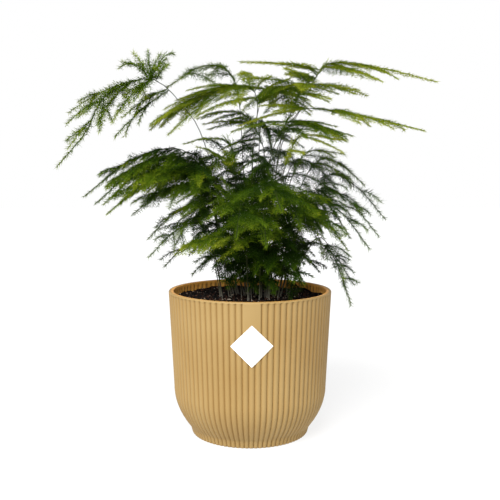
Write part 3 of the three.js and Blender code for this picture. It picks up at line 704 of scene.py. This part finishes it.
# From the foot through the route, with a shoulder first where the stem arches
def stemCurve(stem, route):
    lower = [stem["foot"]]
    if stem["arching"]:
        shoulder = stem["foot"] + clump["shoulderReach"] * (route[0] - stem["foot"])
        shoulder[2] = stem["foot"][2] + clump["shoulderRise"] * (route[0][2] - stem["foot"][2])
        lower.append(shoulder)
    return throughPoints(np.array([*lower, *route]))


# Number of coarse branchlets on a length
def coarseSteps(length):
    return min(max(round(length / spray["spacing"] + 1e-9), spray["fewest"]), spray["most"])


# Stations of a stem: even on the bare part, and even again on the crown
def stemStations(curve):
    share = spray["crownShare"]
    bare = (1 - share) * np.arange(spray["bareSteps"]) / spray["bareSteps"]
    steps = coarseSteps(curve.length() * share)
    crown = 1 - share + share * np.arange(steps + 1) / steps
    return curve.even(np.concatenate([bare, crown]))


# The stem turned and lifted as in the solids
def findStem(stem, corners):
    across = np.array([math.sin(stem["heading"]), -math.cos(stem["heading"]), 0])
    for turn, lift in itertools.product(alternating(search["turns"]), alternating(search["lifts"])):
        route = turned(stem["route"], turn * search["turnStep"]) + lift * search["liftStep"] * up
        curve = stemCurve(stem, route)
        stations = stemStations(curve)
        if isOnNode(coarseTips(stations, across, spray["bareSteps"], stem["crown"]), corners):
            break
    else:
        print("stem not found", stem["name"])
    return route, curve, stations, across


# Point at a share of the length of a broken line
def pointAlong(stations, share):
    lengths = np.concatenate([[0], np.cumsum(np.linalg.norm(np.diff(stations, axis=0), axis=1))])
    return np.array([np.interp(share * lengths[-1], lengths, stations[:, k]) for k in range(3)])


# Sprays by rule: on alternate sides, shorter and closer to the stem's run towards the tip
def ruledSprays(stem, number, draw):
    run = stem["route"][-1] - stem["route"][-3]
    heading = math.atan2(run[1], run[0])
    sprays = []
    for i in range(stem["count"]):
        share = (i + 0.5) / stem["count"]
        place = spray["from"] + spray["run"] * share + spray["shift"] * (draw() - 0.5)
        side = -1 if (i + number) % 2 else 1
        turn = math.radians(spray["turn"] - spray["turnLess"] * share + spray["turnMore"] * (draw() - 0.5))
        angle = heading + side * turn
        length = (stem["length"] * (spray["long"] - spray["shorter"] * share)
                  * (spray["least"] + spray["longer"] * draw()))
        root = pointAlong(stem["stations"], place)
        drop = length * spray["drop"] * (spray["dropLeast"] + spray["dropMore"] * draw())
        tip = away(root, angle, length, drop)
        width = min(spray["widest"], spray["narrow"] + spray["widen"] * length)
        sprays.append([place, *tip, spray["arch"] * length, width])
    return sprays


# The spray bent, turned and shortened as in the solids, or None where it has no room there
def findSpray(stem, row, corners):
    place, *tip, arch, width = row
    root = pointAlong(stem["stations"], place)
    chord = np.array(tip) - root
    flat = unit(chord * [1, 1, 0])
    run = chord @ flat
    turns, bends = alternating(search["turns"]), alternating(search["bends"])
    for share, turn, bend in itertools.product(search["shortenings"], turns, bends):
        angle = math.radians(bend * search["bendStep"])
        lifted = flat * (run * math.cos(angle) - chord[2] * math.sin(angle))
        lifted[2] = run * math.sin(angle) + chord[2] * math.cos(angle)
        reach = turned(lifted, turn * search["turnStep"]) * share
        curve = archedCurve(root, root + reach, arch * share)
        points = curve.even(np.linspace(0, 1, coarseSteps(curve.length()) + 2))
        across = np.cross(unit(reach * [1, 1, 0]), up)
        if isOnNode(coarseTips(points, across, 0, width * share), corners):
            return dict(root=root, tip=root + reach, arch=arch * share, across=across, width=width * share)


# Stems with their curves and sprays, whose roots are moved on to the stem's smooth curve
def plantSkeleton():
    stems = listStems()
    placeFeet(list(stems))
    draw = seededDraws(11)
    lost = 0
    for number, stem in enumerate(stems):
        corners = nodeCorners("stem_" + stem["name"])
        stem["route"], stem["curve"], stem["stations"], stem["across"] = findStem(stem, corners)
        rows = ruledSprays(stem, number, draw) if stem["arching"] else stem["sprays"]
        found = [findSpray(stem, row, corners) for row in rows]
        lost += sum(item is None for item in found)
        stem["found"] = [item for item in found if item]
        smooth = stem["curve"].even(np.linspace(0, 1, 400))
        for item in stem["found"]:
            nearest = smooth[np.argmin(np.linalg.norm(smooth - item["root"], axis=1))]
            item["curve"] = archedCurve(nearest, item["tip"], item["arch"])
        stem["typicalLength"] = np.mean([item["curve"].length() for item in stem["found"]] or [24])
    kept = sum(len(stem["found"]) for stem in stems)
    print("skeleton", len(stems), "stems,", kept, "sprays,", lost, "left out")
    return stems


# Three-sided spikes that narrow to a point: needles and fine twigs
def spikes(roots, directions, lengths, radius):
    helper = np.where(np.abs(directions[:, 2:]) < 0.9, up, [1.0, 0, 0])
    first = unit(np.cross(directions, helper))
    second = np.cross(directions, first)
    turns = np.radians([90, 210, 330])
    ring = [roots + radius * (math.cos(a) * first + math.sin(a) * second) for a in turns]
    points = np.stack([*ring, roots + directions * lengths[:, None]], 1).reshape(-1, 3)
    faces = np.array([[0, 2, 1], [0, 1, 3], [1, 2, 3], [2, 0, 3]])
    return points, (faces[None] + 4 * np.arange(len(roots))[:, None, None]).reshape(-1, 3)


# Round stalk along points, with its ends closed
def tube(points, across, radii, sides):
    ahead, side, above = framesOf(points, across)
    turns = 2 * np.pi * np.arange(sides) / sides
    ring = (np.cos(turns)[None, :, None] * side[:, None] + np.sin(turns)[None, :, None] * above[:, None])
    skin = (points[:, None] + ring * radii[:, None, None]).reshape(-1, 3)
    last = (len(points) - 1) * sides
    fan = np.array([[0, i + 1, i + 2] for i in range(sides - 2)])
    faces = np.concatenate([halved(wrappedGrid(len(points), sides)[:, ::-1]), fan, fan[:, ::-1] + last])
    return skin, faces


# Needles on branchlets on the core of each plume. Tones go from 0, dark, to 1, pale, with painted highlight
# and shade
needles = {
    "branchletPitch": 2.85, "nodePitch": 2.3, "perNode": 3, "length": 4.7, "lengths": (0.75, 1.15),
    "tipLess": 0.35, "radius": 0.265, "spread": 42, "spreadMore": 12, "axisPitch": 1.5,
    "branchletRadius": 0.2, "coreRadius": 0.4, "coreTip": 0.15, "coreStep": 8, "reach": (0.8, 1.15),
    "reachRoot": 0.5, "reachRise": 2.4, "reachFall": 1.5, "shortest": 1.2, "slantMore": 9,
    "sags": (0.5, 1.5), "step": 0.01, "firstNode": 0.6, "axisLess": 0.6,
    # Tones, with a painted highlight towards twig tips, and painted shade at needle roots with a painted
    # highlight at needle tips
    "toneSpread": 0.06, "toneLess": 0.06, "toneCurve": 1.3, "paintedTwigTipHighlight": 0.26, "toneAxis": 0.3,
    "toneCore": 0.8, "paintedRootShade": -0.08, "paintedTipHighlight": 0.14,
}
# How plumes grow: slant, tilt and sag of branchlets, roll of needles and plume, density, width, side
# plumes, the tip's paleness and taper, and the needles' thickness and fuzz
flatManner = {"slant": 50, "tilt": 0.07, "sag": 0.12, "needleRoll": 44, "roll": 8, "density": 1.05,
              "widen": 1.0, "sides": 0, "tip": 0.4, "taper": 1.0, "thin": 1.0, "fuzz": 1.0}
manners = {
    "flat": flatManner,
    "feathery": {**flatManner, "tilt": 0.3, "needleRoll": 72, "roll": 38, "density": 1.3, "widen": 0.66,
                 "sides": 3, "tip": 0.24, "taper": 1.1, "thin": 0.84, "fuzz": 1.1},
    "drooping": {**flatManner, "slant": 44, "tilt": 0.16, "sag": 0.34, "needleRoll": 60, "roll": 24,
                 "density": 1.1, "tip": 0.36, "taper": 1.35},
    "wispy": {**flatManner, "slant": 54, "tilt": 0.25, "sag": 0.2, "needleRoll": 70, "roll": 25,
              "density": 0.75, "widen": 0.46, "tip": 0.3, "taper": 1.5, "thin": 0.72, "fuzz": 1.35},
}


# Reach of the branchlets: full soon after the root, then a long taper to a fine tip
def plumeReach(width, share, taper):
    rise = np.minimum(1, needles["reachRoot"] + needles["reachRise"] * share)
    return width * rise * (1 - share ** needles["reachFall"]) ** taper + needles["shortest"]


# Needles in whorls at spots on twigs: each leans from its twig and rolls about it
def whorls(spots, axis, normal, along, manner, rng):
    count = len(spots)
    planar = unit(np.cross(normal, axis))
    upward = np.cross(axis, planar)
    spread = needles["spreadMore"]
    longest = needles["length"] * manner["fuzz"]
    directions, lengths = [], []
    for k in range(needles["perNode"]):
        lean = np.radians(needles["spread"] + rng.uniform(-spread, spread, count))
        side = 180 * ((k + np.arange(count)) % 2)
        roll = np.radians(side + rng.uniform(-1, 1, count) * manner["needleRoll"])
        lateral = planar * np.cos(roll)[:, None] + upward * np.sin(roll)[:, None]
        directions.append(unit(axis * np.cos(lean)[:, None] + lateral * np.sin(lean)[:, None]))
        lengths.append(longest * (1 - needles["tipLess"] * along) * rng.uniform(*needles["lengths"], count))
    return np.tile(spots, (needles["perNode"], 1)), np.concatenate(directions), np.concatenate(lengths)


# A core, branchlets on alternate sides and needles on both
def feather(curve, across, width, young, rng, manner, fromShare=0.0):
    look = needles
    width *= manner["widen"]
    young += rng.normal(0, look["toneSpread"])
    sag = manner["sag"] * rng.uniform(*look["sags"])
    turn = math.radians(rng.normal(0, manner["roll"]))
    length = curve.length() * (1 - fromShare)
    corePoints = curve.even(np.linspace(fromShare, 1, max(5, int(length / look["coreStep"]))))
    coreRadii = np.linspace(look["coreRadius"], look["coreTip"], len(corePoints))
    core = tube(corePoints, across, coreRadii, 4)

    # Place and directions ahead, sideways and up at shares of the plume
    def framesAt(share):
        place = fromShare + (1 - fromShare) * share
        after = np.minimum(place + look["step"], 1)
        ahead = unit(curve.even(after) - curve.even(after - 2 * look["step"]))
        level = unit(across - ahead * (ahead @ across)[:, None])
        above = np.cross(level, ahead)
        side = level * math.cos(turn) + above * math.sin(turn)
        return curve.even(place), ahead, side, above * math.cos(turn) - level * math.sin(turn)

    count = max(6, int(length / look["branchletPitch"] * 2 * manner["density"]))
    share = (np.arange(count) + rng.uniform(0.2, 0.8, count)) / count
    base, ahead, side, above = framesAt(share)
    sign = 1 - 2.0 * (np.arange(count) % 2)[:, None]
    reach = plumeReach(width, share, manner["taper"]) * rng.uniform(*look["reach"], count)
    slant = np.radians(manner["slant"] + rng.uniform(-look["slantMore"], look["slantMore"], (count, 1)))
    tilt = rng.normal(0, manner["tilt"], (count, 1))
    outward = unit(side * sign * np.cos(slant) + ahead * np.sin(slant) + above * tilt)
    ends = base + outward * reach[:, None] - up * (sag * reach)[:, None]
    twigDirections = unit(ends - base)
    twigLengths = np.linalg.norm(ends - base, axis=1)
    twigs = spikes(base, twigDirections, twigLengths, look["branchletRadius"])
    nodesEach = np.maximum(1, (twigLengths / look["nodePitch"]).astype(int))
    owner = np.repeat(np.arange(count), nodesEach)
    order = np.arange(len(owner)) - np.repeat(np.cumsum(nodesEach) - nodesEach, nodesEach)
    along = (order + look["firstNode"]) / nodesEach[owner]
    spots = base[owner] + twigDirections[owner] * (twigLengths[owner] * along)[:, None]
    onTwigs = whorls(spots, twigDirections[owner], above[owner], along, manner, rng)
    axisCount = max(4, int(length / look["axisPitch"] * manner["fuzz"]))
    axisShare = (np.arange(axisCount) + rng.random(axisCount)) / axisCount
    axisSpots, axisAhead, _, axisAbove = framesAt(axisShare)
    onAxis = whorls(axisSpots, axisAhead, axisAbove, look["axisLess"] * axisShare, manner, rng)
    roots, directions, lengths = (np.concatenate(pair) for pair in zip(onTwigs, onAxis))
    needleMesh = spikes(roots, directions, lengths, look["radius"] * manner["thin"])
    tone = young - look["toneLess"] + manner["tip"] * share ** look["toneCurve"]
    tone += rng.normal(0, look["toneSpread"], count)
    # Painted highlight: needles paler towards each twig's tip
    needleTone = np.concatenate([np.tile(tone[owner] + look["paintedTwigTipHighlight"] * along**2, look["perNode"]),
                                 np.tile(young + look["toneAxis"] * axisShare, look["perNode"])])
    # Painted shade at each needle's root and painted highlight at its tip
    paintedShadeAndHighlight = np.tile([look["paintedRootShade"]] * 3 + [look["paintedTipHighlight"]], len(roots))
    tones = np.concatenate([np.full(len(core[0]), young * look["toneCore"]), np.repeat(tone, 4),
                            np.repeat(needleTone, 4) + paintedShadeAndHighlight])
    return joined([core, twigs, needleMesh]), np.clip(tones, 0, 1)


# Rows as those of sprays
chosenPlumes = {
    "left_tall": [[0.645, -99, 6, 326, 2, 11], [0.645, -87, 10, 328, 2, 10], [0.65, -76, 6, 325, 2, 9],
        [0.65, -70, -10, 314, 3, 9], [0.68, -86, -16, 286, 2, 9], [0.645, -76, 4, 305, 2, 9]],
    "left_broad": [[0.62, 30, -4, 302, 3, 11], [0.64, 17, -14, 303, 3, 11], [0.61, 41, -18, 297, 3, 11],
        [0.6, 24, 24, 296, 3, 11], [0.7, -22, -30, 285, 3, 11], [0.68, -12, -38, 278, 3, 11],
        [0.72, -31, 2, 292, 3, 11], [0.76, -44, -26, 272, 3, 11], [0.66, -8, 18, 290, 3, 11]],
    "centre_tall": [[0.66, 40, 14, 292, 3, 12], [0.68, 58, 30, 296, 3, 12]],
    "right_tall": [[0.75, 112, -26, 305, 2, 8], [0.72, 96, -22, 309, 2, 9], [0.78, 128, 18, 306, 2, 9],
        [0.7, 86, 22, 312, 2, 9], [0.66, 26, -6, 316, 2, 10], [0.65, 44, -14, 314, 2, 9],
        [0.64, 32, 28, 312, 2, 10]],
    "right_third": [[0.62, 8, -22, 279, 2, 11], [0.63, 19, -38, 273, 2, 11], [0.62, 16, 4, 281, 2, 11]],
    "right_fourth": [[0.7, 54, -44, 262, 3, 12], [0.72, 66, -26, 257, 3, 12], [0.7, 43, -58, 252, 3, 12],
        [0.74, 70, -52, 252, 3, 11], [0.68, 20, -52, 262, 3, 10]],
    "left_small": [[0.62, -36, -34, 244, 2, 9], [0.6, -20, -42, 242, 2, 9], [0.66, -44, -14, 246, 2, 9]],
    "left_mid_front": [[0.62, -96, -38, 206, 3, 12], [0.66, -104, -44, 200, 3, 11],
        [0.6, -84, -34, 208, 3, 12]],
    "left_mid_middle": [[0.68, -112, -26, 206, 3, 11], [0.62, -100, -24, 212, 3, 12],
        [0.72, -116, 0, 206, 3, 11], [0.5, -26, -24, 229, 3, 11]],
    "front_left": [[0.55, -28, -36, 214, 3, 11], [0.5, -24, -18, 221, 3, 11]],
    "left_mid_upper": [[0.56, -96, 0, 226, 4, 12], [0.6, -108, 22, 222, 4, 12], [0.5, -32, -12, 237, 3, 11],
        [0.46, -22, 6, 238, 3, 10]],
    "low_left_middle": [[0.7, -56, -16, 162, 2, 10], [0.76, -64, -12, 158, 2, 10]],
    "low_left_thin": [[0.6, -46, -18, 150, 2, 9]],
    "right_mid_near": [[0.6, 56, -20, 168, 3, 11], [0.62, 60, -34, 172, 3, 11]],
}


# Plumes at chosen places, each a parabola from its stem
def chosenSprays(stem):
    return [plume(stem["curve"].even([place])[0], np.array(tip, float), arch, width)
            for place, *tip, arch, width in chosenPlumes.get(stem["name"], [])]


# Added plumes: part of the stem, turn from its run, length against its typical spray, and drop and arch
# against their own length. Follow makes them fall as the stem does
filling = {
    "pitch": 11.0, "past": 4, "reach": 0.95, "long": 0.95, "shorter": 0.5, "narrow": 5, "widen": 0.11,
    "widest": 11,
    "arching": {"from": 0.42, "to": 0.88, "turn": (32, 72), "length": (0.8, 1.15), "drop": (0.18, 0.46),
                "follow": 0.0, "arch": 0.08},
    "tall": {"from": 0.66, "to": 0.93, "turn": (18, 52), "length": (0.75, 1.15), "drop": (0.05, 0.2),
             "follow": 0.9, "arch": 0.05},
}


# Plumes added on alternate sides, shorter towards the tip
def fillingSprays(stem, rng):
    curve = stem["curve"]
    habit = filling["arching" if stem["arching"] else "tall"]
    first, last = habit["from"], habit["to"]
    count = int(curve.length() * (last - first) / filling["pitch"] * stem["fill"])
    sprays = []
    for i in range(count):
        share = (i + rng.uniform(0.2, 0.8)) / count
        place = first + (last - first) * share
        root = curve.even([place])[0]
        run = unit((curve.even([min(place + 0.03, 1)]) - curve.even([place - 0.03]))[0])
        side = 1 if i % 2 else -1
        heading = math.atan2(run[1], run[0]) + side * math.radians(rng.uniform(*habit["turn"]))
        usual = stem["typicalLength"] * (filling["long"] - filling["shorter"] * share)
        longest = filling["past"] + filling["reach"] * (1 - place) * curve.length()
        length = min(longest, usual * rng.uniform(*habit["length"]))
        drop = length * (rng.uniform(*habit["drop"]) - habit["follow"] * min(0, run[2]))
        width = min(filling["widest"], filling["narrow"] + filling["widen"] * length)
        sprays.append(plume(root, away(root, heading, length, drop), habit["arch"] * length, width))
    return sprays


# Side plumes: one for so many millimetres, their turn, length, fall, arch and width
sideGrowth = {
    "pitch": 60, "from": 0.12, "run": 0.62, "turn": (20, 50), "long": 0.45, "shorter": 0.3,
    "length": (0.75, 1.1), "fall": (-0.1, 0.25), "level": 0.2, "arch": 0.04, "width": 0.62,
}


# Small plumes on alternate sides of a long one
def sidePlumes(item, manner, rng):
    look = sideGrowth
    curve = item["curve"]
    count = int(manner["sides"] * curve.length() / look["pitch"])
    plumes = []
    for i in range(count):
        place = look["from"] + look["run"] * (i + rng.uniform(0.1, 0.9)) / count
        root, ahead = curve.even([place, place + 0.05])
        level = math.atan2(ahead[1] - root[1], ahead[0] - root[0])
        level += (1 if i % 2 else -1) * math.radians(rng.uniform(*look["turn"]))
        length = curve.length() * (look["long"] - look["shorter"] * place) * rng.uniform(*look["length"])
        fall = (root[2] - ahead[2]) / np.linalg.norm(ahead - root) + rng.uniform(*look["fall"])
        flat = np.array([math.cos(level), math.sin(level), 0])
        tip = root + length * (flat * math.sqrt(max(look["level"], 1 - fall**2)) - up * fall)
        plumes.append(plume(root, tip, look["arch"] * length, look["width"] * item["width"]))
    return plumes


# Low sprays and where their tips may lie. Limits are rows of a height and how far out tips above it reach
understory = {
    "pitch": 9.1, "from": 0.1, "to": 0.64, "lowest": 123, "length": (18, 34), "drop": (0.2, 0.7),
    "width": 9, "arch": 0.16, "near": -54, "far": 46, "reachLow": 121, "reachHigh": 240, "young": 0.05,
    "leftLimits": ((205, -62), (184, -30), (148, -54), (132, -27), (0, -19)),
    "rightLimits": ((200, 42), (150, 72), (0, 46)),
}


# Short drooping sprays low on the stems, every way round
def lowSprays(stem, rng):
    look = understory
    curve = stem["curve"]
    leafy = look["to"] - look["from"]
    count = int(curve.length() * leafy / look["pitch"])
    sprays = []
    for place in look["from"] + leafy * (np.arange(count) + rng.random(count)) / max(1, count):
        root = curve.even([place])[0]
        heading = rng.uniform(0, 2 * np.pi)
        length = rng.uniform(*look["length"])
        drop = length * rng.uniform(*look["drop"])
        x, y, z = tip = away(root, heading, length, drop)
        leftmost, rightmost = (next(limit for height, limit in look[side] if z > height)
                               for side in ("leftLimits", "rightLimits"))
        inside = leftmost < x < rightmost and look["near"] < y < look["far"]
        if root[2] >= look["lowest"] and look["reachLow"] < z < look["reachHigh"] and inside:
            sprays.append(plume(root, tip, look["arch"] * length, look["width"]))
    return sprays


# Bark turns green between two heights, in metres
foliage = {
    "stalkRoot": 0.44, "stalkTip": 0.3, "stalkSides": 6, "stalkSteps": 34, "stalkSunk": 11,
    "stalkTone": 0.2,
    "youngStems": ["right_young", "right_second", "left_small", "low_left_bright", "front_upper",
                   "front_middle", "front_left"],
    "base": linear(60, 95, 22), "roughness": 0.55, "specular": 0.05,
    "greens": [(0.0, linear(18, 34, 4)), (0.3, linear(39, 64, 8)), (0.6, linear(88, 111, 18)),
               (1.0, linear(163, 170, 48))],
    "shades": [(0.3, (0.72, 0.78, 0.7)), (0.7, (1.1, 1.08, 1.0))],
    "barkHeights": (0.117, 0.142),
    "barks": [(0.0, linear(128, 124, 114)), (0.35, linear(84, 84, 66)), (0.7, linear(40, 46, 24)),
              (1.0, linear(50, 58, 32))],
}


# A stem's stalk: a tube that thins from the soil to the tip
def stemSkin(stem):
    points = stem["curve"].even(np.linspace(0, 1, foliage["stalkSteps"]))
    points = np.concatenate([[points[0] - foliage["stalkSunk"] * up], points])
    radii = np.linspace(foliage["stalkRoot"], foliage["stalkTip"], len(points))
    return tube(points, stem["across"], radii, foliage["stalkSides"])


# Green by each needle's tone, times a broad noise, and on stalks the bark's by height
def foliageMaterial():
    nodes = paint("foliage_look", foliage["base"], foliage["roughness"], foliage["specular"])
    green = nodes.ramp(nodes.attribute("tone"), foliage["greens"])
    varied = nodes.multiplied(green, nodes.ramp(nodes.noise(60, 3), foliage["shades"]))
    height = nodes.scaled(nodes.axis("Object", "Z"), 0, 1, *foliage["barkHeights"])
    bark = nodes.ramp(height, foliage["barks"])
    return nodes.finished({"Base Color": nodes.mixed(nodes.attribute("bark"), varied, bark)})


# A feather along each plume, added to the parts
def grow(parts, plumes, young, rng, manner, fromShare=0.0):
    for item in plumes:
        parts.append(feather(item["curve"], item["across"], item["width"], young, rng, manner, fromShare))


# Each stem's stalk, crown and plumes in one mesh, in place of its node
def addPlant():
    material = foliageMaterial()
    stems = plantSkeleton()
    rng = np.random.default_rng(29)
    total = largest = 0
    for stem in stems:
        manner = manners[stem["manner"]]
        stalk = stemSkin(stem)
        parts = [(stalk, np.full(len(stalk[0]), foliage["stalkTone"]))]
        crown = {"curve": stem["curve"], "across": stem["across"], "width": stem["crown"]}
        grow(parts, [crown], stem["young"], rng, manner, 1 - spray["crownShare"])
        plumes = stem["found"] + chosenSprays(stem) + fillingSprays(stem, rng)
        plumes += [side for item in stem["found"] for side in sidePlumes(item, manner, rng)]
        grow(parts, plumes, stem["young"], rng, manner)
        grow(parts, lowSprays(stem, rng), understory["young"], rng, manners["drooping"])
        points, faces = joined([mesh for mesh, tones in parts])
        tones = np.concatenate([tones for mesh, tones in parts])
        bark = np.arange(len(points)) < len(stalk[0])
        piece = meshPiece("frond_" + stem["name"], points, faces, material, tone=tones, bark=bark)
        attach(piece, "root")
        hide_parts("stem_" + stem["name"])
        total += len(faces)
        largest = max(largest, len(faces))
    print("plant", total, "triangles, the largest frond", largest)


addCamera()
addSun()
addRoom()
addPot()
addLabel()
addSoil()
addPlant()
